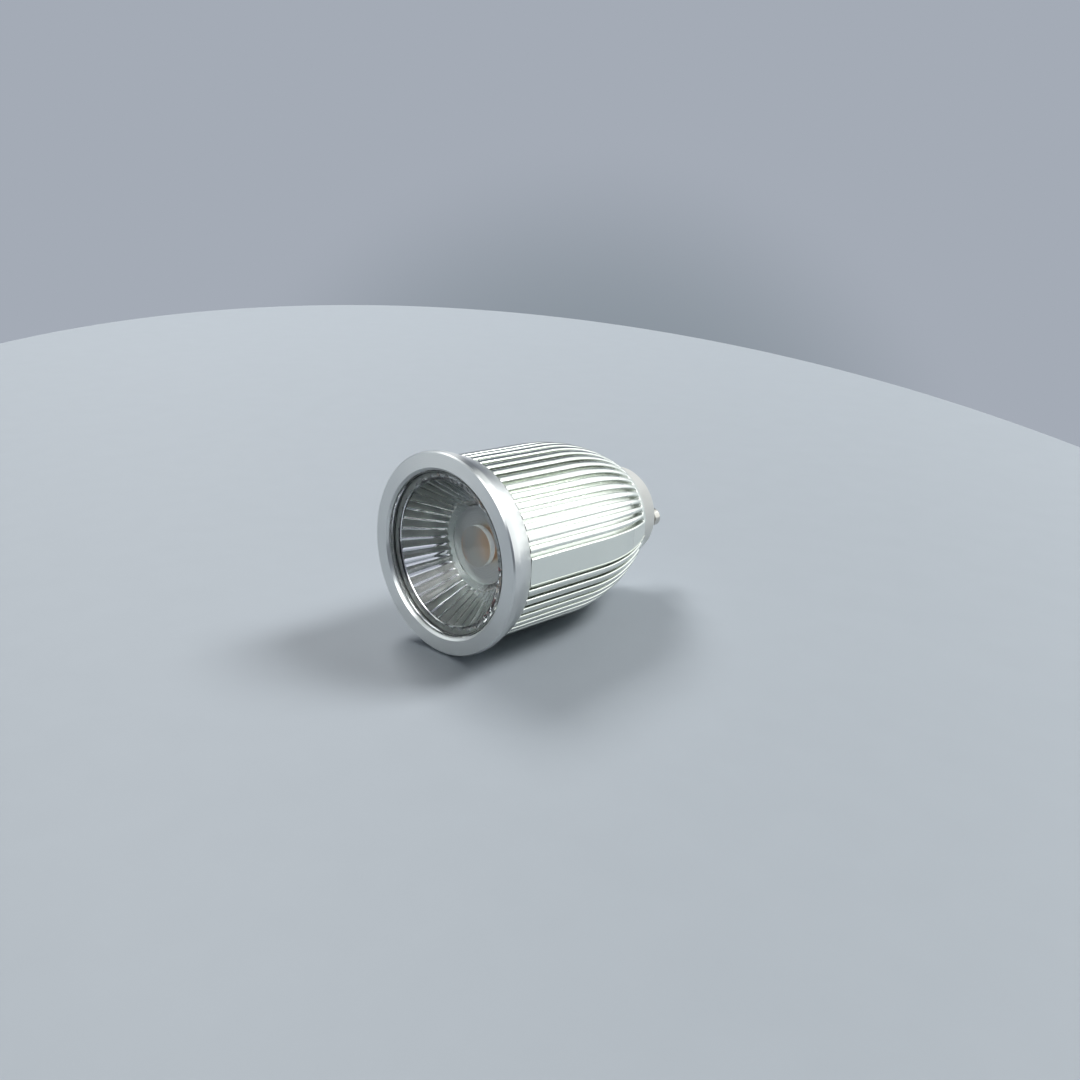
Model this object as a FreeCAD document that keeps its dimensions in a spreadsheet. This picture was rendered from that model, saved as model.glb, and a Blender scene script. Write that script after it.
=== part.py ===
import FreeCAD, Part
import math
import os
import re
import Sketcher

# Finned spotlight bulb with a two-pin twist base, laid on its side.
# Y is the lamp's own axis: the light leaves toward -Y and the pins point toward +Y.
# The origin is the middle of the base's seat, the flat end that the two pins stand on.
# X passes through the two smooth panels of the heat sink, and Z is up.

doc = FreeCAD.newDocument("spotlight_bulb")

# Driving dimensions, in millimetres and degrees

SIZES = [
    ("fit_gap", 0.3, "loose gap between nested pieces"),
    ("close_gap", 0.05, "gap of a screw, tail or filling in its own hole"),
    ("ring_overhang", 1.9, "how far the front ring stands out over the fins"),
    ("ring_rear_step", 0.2, "how far its rear edge stands out over the fins"),
    ("ring_depth", 7.1, "length of the front ring"),
    ("ring_band", 2.0, "straight band behind the ring's face"),
    ("ring_face", 1.7, "thickness of the ring's face"),
    ("ring_cover", 1.3, "how far the ring's face reaches in past the spigot"),
    ("ring_chamfer", 0.4, "outer edge of the ring's face"),
    ("ring_lip", 0.3, "inner edge of the ring's face"),
    ("thread_step", 1.3, "fins down to the spigot that the ring screws on to"),
    ("thread_clearance", 0.15, "radial gap in the ring's thread"),
    ("relief_depth", 0.8, "depth of the run-out groove behind the spigot"),
    ("relief_width", 0.4, "gap between the ring and the fins"),
    ("lens_rim_gap", 0.2, "spigot to the edge of the lens flange"),
    ("lens_rim_thickness", 1.2, "thickness of the lens flange"),
    ("lens_shelf", 2.5, "ring's opening to the mouth of the lens bowl"),
    ("lens_taper", 8.0, "how much narrower the bowl is at its floor"),
    ("lens_floor_depth", 11.2, "depth of the lens bowl"),
    ("lens_wall", 1.8, "wall of the lens bowl"),
    ("lens_floor_thickness", 3.7, "floor of the lens bowl"),
    ("lens_boss_radius", 5.2, "round boss in the middle of the lens"),
    ("lens_boss_height", 1.6, "straight side of that boss"),
    ("lens_cap_rise", 0.8, "crown of that boss"),
    ("lens_pocket_radius", 6.5, "hollow behind the lens, over the light source"),
    ("lens_pocket_depth", 1.2, "depth of that hollow"),
    ("prism_count", 40, "long prisms round the outside of the lens"),
    ("prism_gap", 0.9, "width of the channel between two prisms"),
    ("prism_depth", 0.6, "depth of the channel between two prisms"),
    ("prism_margin", 0.8, "smooth wall left in front of the prisms"),
    ("prism_end", 3.6, "smooth wall left behind the prisms"),
    ("body_wall", 4.2, "aluminium between the bore and the floor of a groove"),
    ("shoulder_length", 25.9, "rounded rear of the body, behind the straight fins"),
    ("grooves_per_side", 25, "grooves between the two smooth panels"),
    ("panel_angle", 20.0, "angle between the grooves beside a panel"),
    ("groove_width", 0.9, "width of a groove"),
    ("groove_depth", 1.9, "depth of a groove"),
    ("groove_flare", 0.3, "chamfer on the two lips of a groove"),
    ("groove_land", 2.4, "ungrooved strip in front of the rear face"),
    ("panel_width", 6.4, "width of a smooth panel"),
    ("panel_depth", 0.2, "how far a panel lies under the fins"),
    ("bore_radius", 17.0, "inside of the body round the driver"),
    ("taper_length", 9.4, "rear part of the bore, where it narrows"),
    ("rear_wall", 2.5, "length of the narrow rear opening"),
    ("rear_cover", 2.28, "how far the collar reaches out past the rear opening"),
    ("rear_step", 3.4, "how far the rear face reaches out past the collar"),
    ("plate_ledge", 1.2, "ledge round the bore that the light source's plate sits on"),
    ("plate_thickness", 3.0, "thickness of that plate"),
    ("plate_clearance", 0.1, "radial gap round that plate"),
    ("lens_clearance", 0.4, "lens to the heads of the holder screws"),
    ("cob_margin", 0.95, "light source's base round the dam"),
    ("cob_thickness", 1.0, "thickness of the light source's base"),
    ("pad_thickness", 0.3, "thickness of the heat-conducting pad"),
    ("dam_radius", 5.8, "outer radius of the dam round the phosphor"),
    ("dam_wall", 0.9, "width of that dam"),
    ("dam_height", 0.6, "height of that dam"),
    ("dam_edge", 0.3, "sloped edges of that dam"),
    ("phosphor_height", 0.5, "depth of the phosphor in its dam"),
    ("holder_margin", 0.5, "light source's holder round the heads of its screws"),
    ("holder_thickness", 2.0, "thickness of the holder"),
    ("window_margin", 0.5, "dam to the round window in the holder"),
    ("holder_edge", 0.5, "sloped edge of that window"),
    ("holder_notch", 1.5, "width of a lead's channel in the holder, and of the notch at its end"),
    ("channel_depth", 0.9, "depth of that channel"),
    ("screw_margin", 0.4, "light source's base to a screw's sink in the holder"),
    ("small_screw_radius", 0.95, "shank of a holder screw"),
    ("small_head_radius", 1.6, "head of a holder screw"),
    ("small_head_height", 1.0, "height of that head"),
    ("small_screw_length", 4.0, "holder screw under its head"),
    ("small_head_sink", 0.6, "how deep that head sits in the holder"),
    ("post_inset", 3.3, "outside of the housing to the middle of a screw post"),
    ("large_screw_radius", 1.25, "shank of a plate screw"),
    ("large_head_radius", 2.2, "head of a plate screw"),
    ("large_head_height", 1.5, "height of that head"),
    ("large_screw_length", 9.0, "plate screw under its head"),
    ("screw_edge", 0.5, "sloped edge of a screw head, and of the screw's tip"),
    ("slot_width", 0.5, "driver slot in a screw head"),
    ("slot_depth", 0.5, "depth of that slot"),
    ("housing_wall", 1.2, "wall of the driver's housing"),
    ("housing_lip", 0.4, "how far the housing stays inside the rear face"),
    ("post_radius", 2.8, "screw post in the housing"),
    ("post_length", 9.0, "length of that post"),
    ("rail_length", 17.0, "length of the rails that hold the driver board"),
    ("rail_height", 1.1, "height of a rail"),
    ("rail_reach", 1.1, "how far a rail covers the edge of the board"),
    ("board_side_gap", 0.66, "edge of the driver board to the housing, beside the lower rail"),
    ("board_length", 22.3, "length of the driver board"),
    ("board_thickness", 1.2, "thickness of the driver board"),
    ("board_level", -4.0, "upper face of the driver board"),
    ("board_inset", 1.5, "board behind the housing's front edge"),
    ("collar_radius", 12.6, "white collar behind the heat sink"),
    ("collar_length", 8.7, "length of the collar"),
    ("collar_round", 0.8, "rounded rear edge of the collar"),
    ("boss_margin", 0.5, "boss round the heads of the pins"),
    ("boss_height", 3.3, "height of that boss"),
    ("boss_round", 0.6, "rounded edge of that boss"),
    ("cap_wall", 1.6, "wall behind the collar and under the seat"),
    ("boss_wall", 1.2, "side wall of the boss"),
    ("skirt_length", 4.0, "skirt of the base inside the housing"),
    ("skirt_wall", 1.0, "wall of that skirt"),
    ("skirt_clearance", 0.15, "radial gap round that skirt"),
    ("pin_spacing", 10.0, "distance between the two pins"),
    ("pin_turn", -33.0, "turn of the pins' line from the X axis"),
    ("pin_length", 7.0, "height of a pin over the seat"),
    ("pin_head_radius", 2.5, "head of a pin"),
    ("pin_head_length", 2.3, "length of that head"),
    ("pin_neck_radius", 1.5, "neck of a pin"),
    ("pin_edge", 0.35, "rounding of a pin's head"),
    ("pin_tail_radius", 1.1, "tail of a pin in the base"),
    ("rivet_radius", 1.7, "riveted end of a pin inside the base"),
    ("rivet_length", 0.8, "length of the riveted end"),
    ("solder_radius", 0.8, "solder post of a pin"),
    ("solder_length", 2.0, "length of the solder post"),
    ("core_width", 12.0, "width of the transformer core"),
    ("core_depth", 5.0, "core along the axis"),
    ("core_height", 9.0, "height of the transformer core"),
    ("core_limb", 1.6, "outer limbs of the core"),
    ("core_middle", 3.0, "middle limb of the core"),
    ("core_inset", 11.6, "board's front edge to the middle of the core"),
    ("core_gap", 0.8, "core to the input capacitor beside it"),
    ("row_gap", 1.0, "core to the parts in front of it and behind it"),
    ("coil_wall", 2.0, "winding round the middle limb"),
    ("input_capacitor_radius", 4.0, "can of the input capacitor"),
    ("input_capacitor_length", 12.0, "length of that can"),
    ("input_capacitor_inset", 8.0, "board's front edge to that can"),
    ("output_capacitor_radius", 3.15, "can of the output capacitor"),
    ("output_capacitor_height", 9.0, "height of that can"),
    ("can_edge", 0.4, "sloped edge of a capacitor can"),
    ("can_crimp", 1.6, "foot of a can to its crimped groove"),
    ("can_groove", 0.3, "depth of that groove"),
    ("inductor_radius", 3.5, "flange of the filter inductor"),
    ("inductor_waist", 3.0, "winding of the filter inductor"),
    ("inductor_flange", 1.0, "thickness of its flanges"),
    ("inductor_height", 8.0, "height of the filter inductor"),
    ("side_inset", 4.9, "edge of the board to the row of parts along it"),
    ("rectifier_width", 6.4, "width of the bridge rectifier"),
    ("rectifier_length", 5.0, "length of the bridge rectifier"),
    ("rectifier_height", 2.4, "height of the bridge rectifier"),
    ("rectifier_inset", 15.0, "board's front edge to the rectifier"),
    ("chip_width", 5.0, "width of the driver chip"),
    ("chip_length", 4.0, "length of the driver chip"),
    ("chip_height", 1.5, "height of the driver chip"),
    ("chip_inset", 5.0, "board's front edge to the chip"),
    ("resistor_radius", 1.5, "body of the fuse resistor"),
    ("resistor_length", 7.0, "length of the fuse resistor"),
    ("resistor_inset", 18.0, "board's front edge to the middle of the fuse resistor"),
    ("under_row", 4.6, "axis to the parts under the board"),
    ("lead_radius", 0.5, "radius of an insulated lead"),
    ("lead_margin", 1.2, "dam to the start of a lead on the light source's base"),
    ("lead_overlap", 1.2, "lead on the edge of the driver board"),
    ("lead_straight", 5.0, "pin lead that runs straight on from its pin"),
    ("lead_landing", 4.5, "pin lead behind the board's rear edge, where it turns down"),
    ("lead_inset", 0.9, "edge of the holder to the lead that passes it"),
    ("lead_turn", 20.0, "angle of the lead below the X axis"),
    ("lead_hole_radius", 0.9, "hole for a lead in the plate"),
]

sheet = doc.addObject("Spreadsheet::Sheet", "Sizes")
for row, (alias, size, meaning) in enumerate(SIZES, start=1):
    sheet.set(f"A{row}", meaning)
    sheet.set(f"B{row}", str(size))
    sheet.setAlias(f"B{row}", alias)
doc.recompute()

ALIASES = {alias for alias, size, meaning in SIZES}

# Radii, from the bore outward and from the pins outward

FIN_RADIUS = "(bore_radius + body_wall + groove_depth)"
THREAD_RADIUS = f"({FIN_RADIUS} - thread_step)"
RELIEF_RADIUS = f"({THREAD_RADIUS} - relief_depth)"
RING_RADIUS = f"({FIN_RADIUS} + ring_overhang)"
RING_REAR_RADIUS = f"({FIN_RADIUS} + ring_rear_step)"
RING_OPENING = f"({THREAD_RADIUS} - ring_cover)"
LENS_RIM = f"({THREAD_RADIUS} - lens_rim_gap)"
BOWL_MOUTH = f"({RING_OPENING} - lens_shelf)"
BOWL_FLOOR = f"({BOWL_MOUTH} - lens_taper)"
PLATE_RADIUS = "(bore_radius + plate_ledge)"
HOUSING_RADIUS = "(bore_radius - fit_gap)"
BOSS_RADIUS = "(pin_spacing / 2 + pin_head_radius + boss_margin)"
REAR_RADIUS = "(collar_radius + rear_step)"
REAR_OPENING_RADIUS = "(collar_radius - rear_cover)"
NECK_RADIUS = f"({REAR_OPENING_RADIUS} - fit_gap)"
SKIRT_RADIUS = f"({NECK_RADIUS} - housing_wall - skirt_clearance)"

# The light source and its holder, from the dam outward

COB_SIDE = "(2 * (dam_radius + cob_margin))"
HOLDER_WINDOW = "(dam_radius + window_margin)"
HOLDER_SINK = "(small_head_radius + fit_gap / 2)"
HOLDER_SCREW_PLACE = f"({COB_SIDE} / 2 + screw_margin + {HOLDER_SINK})"
HOLDER_RADIUS = f"({HOLDER_SCREW_PLACE} + small_head_radius + holder_margin)"
LEAD_START = "(dam_radius + lead_margin)"
LEAD_PLACE = f"({HOLDER_RADIUS} - lead_inset)"
LEAD_X = f"({LEAD_PLACE} * cos(lead_turn))"
LEAD_DOWN = f"({LEAD_PLACE} * sin(lead_turn))"
LED_SPACE = "(holder_thickness + small_head_height - small_head_sink + lens_clearance)"

# Places along the axis, from the seat forward: base, narrowing bore, driver, light source, lens and ring

COLLAR_REAR = "(-boss_height)"
BODY_REAR = f"({COLLAR_REAR} - collar_length)"
HOUSING_REAR = f"({BODY_REAR} - housing_lip)"
REAR_OPENING = f"({BODY_REAR} - rear_wall)"
TAPER = f"({REAR_OPENING} - taper_length)"
BOARD_FRONT = f"({TAPER} - board_length)"
HOUSING_FRONT = f"({BOARD_FRONT} - board_inset)"
PLATE_REAR = f"({HOUSING_FRONT} - fit_gap)"
PLATE_FRONT = f"({PLATE_REAR} - plate_thickness)"
COB_FRONT = f"({PLATE_FRONT} - pad_thickness - cob_thickness)"
LENS_REAR = f"({PLATE_FRONT} - {LED_SPACE})"
LENS_FLOOR = f"({LENS_REAR} - lens_floor_thickness)"
LENS_FRONT = f"({LENS_FLOOR} - lens_floor_depth)"
SPIGOT = f"({LENS_FRONT} + lens_rim_thickness)"
FRONT = f"({LENS_FRONT} - ring_face)"
RING_REAR = f"({FRONT} + ring_depth)"
FINS = f"({RING_REAR} + relief_width)"
SHOULDER = f"({BODY_REAR} - shoulder_length)"

# The shoulder's curve leaves the fins without a corner and ends at the rear face

SHOULDER_DROP = f"({FIN_RADIUS} - {REAR_RADIUS})"
SHOULDER_ARC = f"((shoulder_length^2 + {SHOULDER_DROP}^2) / (2 * {SHOULDER_DROP}))"
SHOULDER_CENTRE = f"({FIN_RADIUS} - {SHOULDER_ARC})"

# The driver board fills the housing between its rails

BOARD_UNDER = "(board_level - board_thickness)"
RAIL_LEVEL = f"(abs({BOARD_UNDER}) + rail_height)"
BOARD_HALF = f"(sqrt(({HOUSING_RADIUS} - housing_wall)^2 - {RAIL_LEVEL}^2) - board_side_gap)"
BOARD_WIDTH = f"(2 * {BOARD_HALF})"
SIDE_ROW = f"({BOARD_HALF} - side_inset)"
CORE_OFFSET = f"(input_capacitor_radius + core_gap + core_width / 2 - {SIDE_ROW})"
CORE_MIDDLE = f"({BOARD_FRONT} + core_inset)"
PLATE_SCREW_PLACE = f"({HOUSING_RADIUS} - post_inset)"

# Marks a coordinate that is only where a sketch starts from, and that its other sides then settle

NEAR = "near "


def bound(text):
    """The same expression with every size read from the sheet."""
    return re.sub(r"[a-z][a-z_]*", lambda word: f"Sizes.{word[0]}" if word[0] in ALIASES else word[0], text)


def number(text):
    """The present value of an expression, in millimetres or degrees."""
    return float(sheet.evalExpression(text.removeprefix(NEAR)))


def origin_part(body, role):
    return next(part for part in body.Origin.OriginFeatures if part.Role == role)


def new_body(label):
    body = doc.addObject("PartDesign::Body", label)
    body.Label = label
    return body


def pin_down(sketch, geometry, point, x, y):
    """Ties a point of the sketch to its place in the sheet. What starts with NEAR is left to the sketch."""
    for kind, axis, text in (("DistanceX", -2, x), ("DistanceY", -1, y)):
        if text.startswith(NEAR):
            continue
        if text == "0":
            sketch.addConstraint(Sketcher.Constraint("PointOnObject", geometry, point, axis))
        else:
            index = sketch.addConstraint(Sketcher.Constraint(kind, geometry, point, number(text)))
            sketch.setExpression(f"Constraints[{index}]", bound(text))


def draw(sketch, corners, closed=True):
    """Straight sides and arcs from corner to corner. A corner with a centre starts an arc round it."""
    places = [FreeCAD.Vector(number(x), number(y)) for x, y, *centre in corners]
    sides = len(corners) if closed else len(corners) - 1
    ends = []
    for index in range(sides):
        start, end = places[index], places[(index + 1) % len(corners)]
        if len(corners[index]) == 2:
            sketch.addGeometry(Part.LineSegment(start, end), False)
            ends.append((1, 2))
            continue
        middle = FreeCAD.Vector(*(number(text) for text in corners[index][2:]))
        angles = [math.atan2(place.y - middle.y, place.x - middle.x) for place in (start, end)]
        turns_left = (start - middle).cross(end - middle).z > 0
        circle = Part.Circle(middle, FreeCAD.Vector(0, 0, 1), (start - middle).Length)
        sketch.addGeometry(Part.ArcOfCircle(circle, *(angles if turns_left else reversed(angles))), False)
        ends.append((1, 2) if turns_left else (2, 1))
        pin_down(sketch, index, 3, *corners[index][2:])
    for index in range(sides):
        follower = (index + 1) % len(corners)
        if follower < sides:
            sketch.addConstraint(
                Sketcher.Constraint("Coincident", index, ends[index][1], follower, ends[follower][0]))
        pin_down(sketch, index, ends[index][0], *corners[index][:2])
    if not closed:
        pin_down(sketch, sides - 1, ends[-1][1], *corners[-1][:2])


def turn_sketch(sketch, sketch_axis, turn):
    """Turns a sketch about one of its own axes, the one that runs along the lamp's axis."""
    for letter in "xyz":
        sketch.setExpression(f"AttachmentOffset.Rotation.Axis.{letter}", "1" if letter == sketch_axis else "0")
    sketch.setExpression("AttachmentOffset.Rotation.Angle", bound(turn))


def meridian(body, name, corners, closed=True, turn=None):
    """A sketch in the plane of the axis: X is the distance from the axis, Y runs along it."""
    sketch = body.newObject("Sketcher::SketchObject", name)
    sketch.AttachmentSupport = (origin_part(body, "XY_Plane"), [""])
    sketch.MapMode = "FlatFace"
    draw(sketch, corners, closed)
    if turn:
        turn_sketch(sketch, "y", f"-({turn})")
    return sketch


def section(body, name, place, turn=None):
    """An empty sketch across the axis at the given place: X is across and Y is up."""
    sketch = body.newObject("Sketcher::SketchObject", name)
    sketch.AttachmentSupport = (origin_part(body, "XZ_Plane"), [""])
    sketch.MapMode = "FlatFace"
    sketch.AttachmentOffset = FreeCAD.Placement(FreeCAD.Vector(0, 0, -number(place)), FreeCAD.Rotation())
    sketch.setExpression("AttachmentOffset.Base.z", bound(f"-{place}"))
    if turn:
        turn_sketch(sketch, "z", turn)
    return sketch


def rectangle(sketch, left, right, low, high):
    first = sketch.GeometryCount
    corners = [(left, low), (right, low), (right, high), (left, high)]
    places = [FreeCAD.Vector(number(x), number(y)) for x, y in corners]
    for index in range(4):
        sketch.addGeometry(Part.LineSegment(places[index], places[(index + 1) % 4]), False)
    for index in range(4):
        here = first + index
        sketch.addConstraint(Sketcher.Constraint("Coincident", here, 2, first + (index + 1) % 4, 1))
        pin_down(sketch, here, 1, *corners[index])


def circle(sketch, x, y, radius):
    place = FreeCAD.Vector(number(x), number(y))
    index = sketch.addGeometry(Part.Circle(place, FreeCAD.Vector(0, 0, 1), number(radius)), False)
    pin_down(sketch, index, 3, x, y)
    constraint = sketch.addConstraint(Sketcher.Constraint("Radius", index, number(radius)))
    sketch.setExpression(f"Constraints[{constraint}]", bound(radius))


def turned(body, corners):
    """A full turn of the outline round the axis."""
    feature = body.newObject("PartDesign::Revolution", f"{body.Label}_turned")
    feature.Profile = (meridian(body, f"{body.Label}_outline", corners), [""])
    feature.ReferenceAxis = (feature.Profile[0], ["V_Axis"])
    feature.Angle = 360
    doc.recompute()
    return feature


def sized(feature, length, both_sides=False, reverse=False):
    feature.Length = number(length)
    feature.setExpression("Length", bound(length))
    feature.SideType = "Symmetric" if both_sides else "One side"
    feature.Reversed = reverse
    doc.recompute()
    return feature


def pad(body, sketch, length):
    """Adds the sketch's area, from its plane toward the pins."""
    feature = body.newObject("PartDesign::Pad", f"{sketch.Name}_pad")
    feature.Profile = (sketch, [""])
    return sized(feature, length, reverse=True)


def cut(body, sketch, length, both_sides=False):
    """Removes the sketch's area, from its plane toward the pins, or to both sides of it."""
    before = body.Tip.Shape.Volume
    feature = body.newObject("PartDesign::Pocket", f"{sketch.Name}_cut")
    feature.Profile = (sketch, [""])
    sized(feature, length, both_sides)
    if feature.Shape.Volume >= before:
        raise RuntimeError(f"{feature.Name} cuts nothing")
    return feature


def polar(body, name, angle, count):
    pattern = body.newObject("PartDesign::PolarPattern", name)
    pattern.Axis = (origin_part(body, "Y_Axis"), [""])
    pattern.Angle = number(angle)
    pattern.setExpression("Angle", bound(angle))
    pattern.Occurrences = round(number(count))
    pattern.setExpression("Occurrences", bound(count))
    return pattern


def round_axis(body, feature, count):
    """Repeats a feature evenly round the axis."""
    pattern = polar(body, f"{feature.Name}_ring", "360", count)
    pattern.Originals = [feature]
    body.Tip = pattern
    doc.recompute()


def both_halves(body, feature, angle, count):
    """Repeats a feature over an angle below the X axis, and all of that again above it."""
    pattern = body.newObject("PartDesign::MultiTransform", f"{feature.Name}_halves")
    pattern.Originals = [feature]
    pattern.Transformations = [
        polar(body, f"{feature.Name}_row", angle, count),
        polar(body, f"{feature.Name}_twin", "360", "2"),
    ]
    body.Tip = pattern
    doc.recompute()


def block(label, size, place):
    """A plain box of the given size whose lowest corner is at the given place."""
    box = doc.addObject("Part::Box", label)
    box.Label = label
    for side, text in zip(("Length", "Width", "Height"), size):
        box.setExpression(side, bound(text))
    for axis, text in zip("xyz", place):
        box.setExpression(f"Placement.Base.{axis}", bound(text))
    return box


def shaped(label, shape):
    """A piece whose shape is put together from faces and paths."""
    feature = doc.addObject("Part::Feature", label)
    feature.Label = label
    feature.Shape = shape
    return feature


# Front ring, turned from bar

front_ring = new_body("front_ring")
turned(front_ring, [
    (f"{RING_OPENING} + ring_lip", FRONT),
    (f"{RING_RADIUS} - ring_chamfer", FRONT),
    (RING_RADIUS, f"{FRONT} + ring_chamfer"),
    (RING_RADIUS, f"{FRONT} + ring_band"),
    (RING_REAR_RADIUS, RING_REAR),
    (f"{THREAD_RADIUS} + thread_clearance", RING_REAR),
    (f"{THREAD_RADIUS} + thread_clearance", LENS_FRONT),
    (RING_OPENING, LENS_FRONT),
    (RING_OPENING, f"{FRONT} + ring_lip"),
])

# Lens, a clear moulded bowl with long prisms round its outside


def cap_centre(top, radius, rise):
    """Centre of a shallow crown on the axis, of the given edge radius and rise."""
    return f"{NEAR}({top} + ({radius}^2 + {rise}^2) / (2 * {rise}))"


def lens_outside(place):
    """Radius of the outside of the bowl at a place along the axis."""
    slope = f"({BOWL_FLOOR} - {BOWL_MOUTH}) / ({LENS_REAR} - {SPIGOT})"
    return f"({BOWL_MOUTH} + lens_wall + {slope} * ({place} - {SPIGOT}))"


BOSS_EDGE = f"({LENS_FLOOR} - lens_boss_height)"
BOSS_TOP = f"({BOSS_EDGE} - lens_cap_rise)"
POCKET_TOP = f"({LENS_REAR} - lens_pocket_depth)"
PRISM_FRONT = f"({SPIGOT} + prism_margin)"
PRISM_REAR = f"({LENS_REAR} - prism_end)"

lens = new_body("lens")
turned(lens, [
    ("0", BOSS_TOP, "0", cap_centre(BOSS_TOP, "lens_boss_radius", "lens_cap_rise")),
    ("lens_boss_radius", BOSS_EDGE),
    ("lens_boss_radius", LENS_FLOOR),
    (BOWL_FLOOR, LENS_FLOOR),
    (BOWL_MOUTH, LENS_FRONT),
    (LENS_RIM, LENS_FRONT),
    (LENS_RIM, SPIGOT),
    (f"{BOWL_MOUTH} + lens_wall", SPIGOT),
    (f"{BOWL_FLOOR} + lens_wall", LENS_REAR),
    ("lens_pocket_radius", LENS_REAR, "0", cap_centre(POCKET_TOP, "lens_pocket_radius", "lens_pocket_depth")),
    ("0", POCKET_TOP),
])
channel = meridian(lens, "lens_channel", [
    (f"{lens_outside(PRISM_FRONT)} - prism_depth", PRISM_FRONT),
    (f"{lens_outside(PRISM_FRONT)} + prism_depth", PRISM_FRONT),
    (f"{lens_outside(PRISM_REAR)} + prism_depth", PRISM_REAR),
    (f"{lens_outside(PRISM_REAR)} - prism_depth", PRISM_REAR),
])
round_axis(lens, cut(lens, channel, "prism_gap", both_sides=True), "prism_count")

# Heat sink, one finned shell with a bullet-shaped rear

heat_sink = new_body("heat_sink")
turned(heat_sink, [
    (THREAD_RADIUS, SPIGOT),
    (THREAD_RADIUS, RING_REAR),
    (RELIEF_RADIUS, RING_REAR),
    (RELIEF_RADIUS, FINS),
    (FIN_RADIUS, FINS),
    (FIN_RADIUS, SHOULDER, SHOULDER_CENTRE, SHOULDER),
    (f"{NEAR}{REAR_RADIUS}", BODY_REAR),
    (REAR_OPENING_RADIUS, BODY_REAR),
    (REAR_OPENING_RADIUS, REAR_OPENING),
    ("bore_radius", TAPER),
    ("bore_radius", PLATE_REAR),
    (PLATE_RADIUS, PLATE_REAR),
    (PLATE_RADIUS, PLATE_FRONT),
    (f"{BOWL_MOUTH} + lens_wall + fit_gap", SPIGOT),
])


def panel_cutter(depth):
    """The space outside a surface that lies the given depth under the turned outside."""
    return [
        (f"{FIN_RADIUS} - {depth}", RING_REAR),
        (f"{FIN_RADIUS} - {depth}", SHOULDER, SHOULDER_CENTRE, SHOULDER),
        (f"{NEAR}{REAR_RADIUS}", BODY_REAR),
        (f"{FIN_RADIUS} + groove_depth", BODY_REAR),
        (f"{FIN_RADIUS} + groove_depth", RING_REAR),
    ]


panel = cut(heat_sink, meridian(heat_sink, "panel_side", panel_cutter("panel_depth")), "panel_width", True)
round_axis(heat_sink, panel, "2")

# The first groove, beside a panel: its section is swept along the fins and round the shoulder

GROOVE_START = f"({RING_REAR} + relief_width / 2)"
GROOVE_END = f"({BODY_REAR} - groove_land)"
GROOVE_FLOOR = f"({FIN_RADIUS} - groove_depth)"
GROOVE_TURN = "-panel_angle / 2"

groove_section = section(heat_sink, "groove_section", GROOVE_START, GROOVE_TURN)
draw(groove_section, [
    (GROOVE_FLOOR, "-groove_width / 2"),
    (f"{FIN_RADIUS} - groove_flare", "-groove_width / 2"),
    (f"{FIN_RADIUS} + groove_flare", "-groove_width / 2 - 2 * groove_flare"),
    (f"{FIN_RADIUS} + groove_flare", "groove_width / 2 + 2 * groove_flare"),
    (f"{FIN_RADIUS} - groove_flare", "groove_width / 2"),
    (GROOVE_FLOOR, "groove_width / 2"),
])
groove_path = meridian(heat_sink, "groove_path", [
    (GROOVE_FLOOR, GROOVE_START),
    (GROOVE_FLOOR, SHOULDER, SHOULDER_CENTRE, SHOULDER),
    (f"{NEAR}{REAR_RADIUS}", GROOVE_END),
], closed=False, turn=GROOVE_TURN)
groove = heat_sink.newObject("PartDesign::SubtractivePipe", "groove")
groove.Profile = (groove_section, [""])
groove.Spine = (groove_path, ["Edge1", "Edge2"])
doc.recompute()
both_halves(heat_sink, groove, "180 - panel_angle", "grooves_per_side")

# Plate that carries the light source and closes the driver's housing

led_plate = new_body("led_plate")
turned(led_plate, [
    ("0", PLATE_FRONT),
    (f"{PLATE_RADIUS} - plate_clearance", PLATE_FRONT),
    (f"{PLATE_RADIUS} - plate_clearance", PLATE_REAR),
    ("0", PLATE_REAR),
])
plate_holes = section(led_plate, "plate_holes", PLATE_FRONT)
for side in ("", "-"):
    circle(plate_holes, f"{side}{LEAD_X}", f"-{LEAD_DOWN}", "lead_hole_radius")
    circle(plate_holes, f"{side}{HOLDER_SCREW_PLACE}", "0", "small_screw_radius + close_gap")
    circle(plate_holes, "0", f"{side}{PLATE_SCREW_PLACE}", "large_screw_radius + close_gap")
cut(led_plate, plate_holes, "plate_thickness")

# Light source: pad, base, dam and phosphor

thermal_pad = block(
    "thermal_pad",
    (COB_SIDE, "pad_thickness", COB_SIDE),
    (f"-{COB_SIDE} / 2", f"{PLATE_FRONT} - pad_thickness", f"-{COB_SIDE} / 2"))
led_base = block(
    "led_base",
    (COB_SIDE, "cob_thickness", COB_SIDE),
    (f"-{COB_SIDE} / 2", COB_FRONT, f"-{COB_SIDE} / 2"))
led_dam = new_body("led_dam")
turned(led_dam, [
    ("dam_radius", COB_FRONT),
    ("dam_radius", f"{COB_FRONT} - dam_height + dam_edge"),
    ("dam_radius - dam_edge", f"{COB_FRONT} - dam_height"),
    ("dam_radius - dam_wall + dam_edge", f"{COB_FRONT} - dam_height"),
    ("dam_radius - dam_wall", f"{COB_FRONT} - dam_height + dam_edge"),
    ("dam_radius - dam_wall", COB_FRONT),
])
phosphor = doc.addObject("Part::Cylinder", "phosphor")
phosphor.Placement.Rotation = FreeCAD.Rotation(FreeCAD.Vector(1, 0, 0), -90)
phosphor.setExpression("Placement.Base.y", bound(f"{COB_FRONT} - phosphor_height"))
phosphor.setExpression("Radius", bound("dam_radius - dam_wall - close_gap"))
phosphor.setExpression("Height", bound("phosphor_height"))

# Holder that clamps the light source to the plate

HOLDER_FRONT = f"({PLATE_FRONT} - holder_thickness)"

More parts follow.
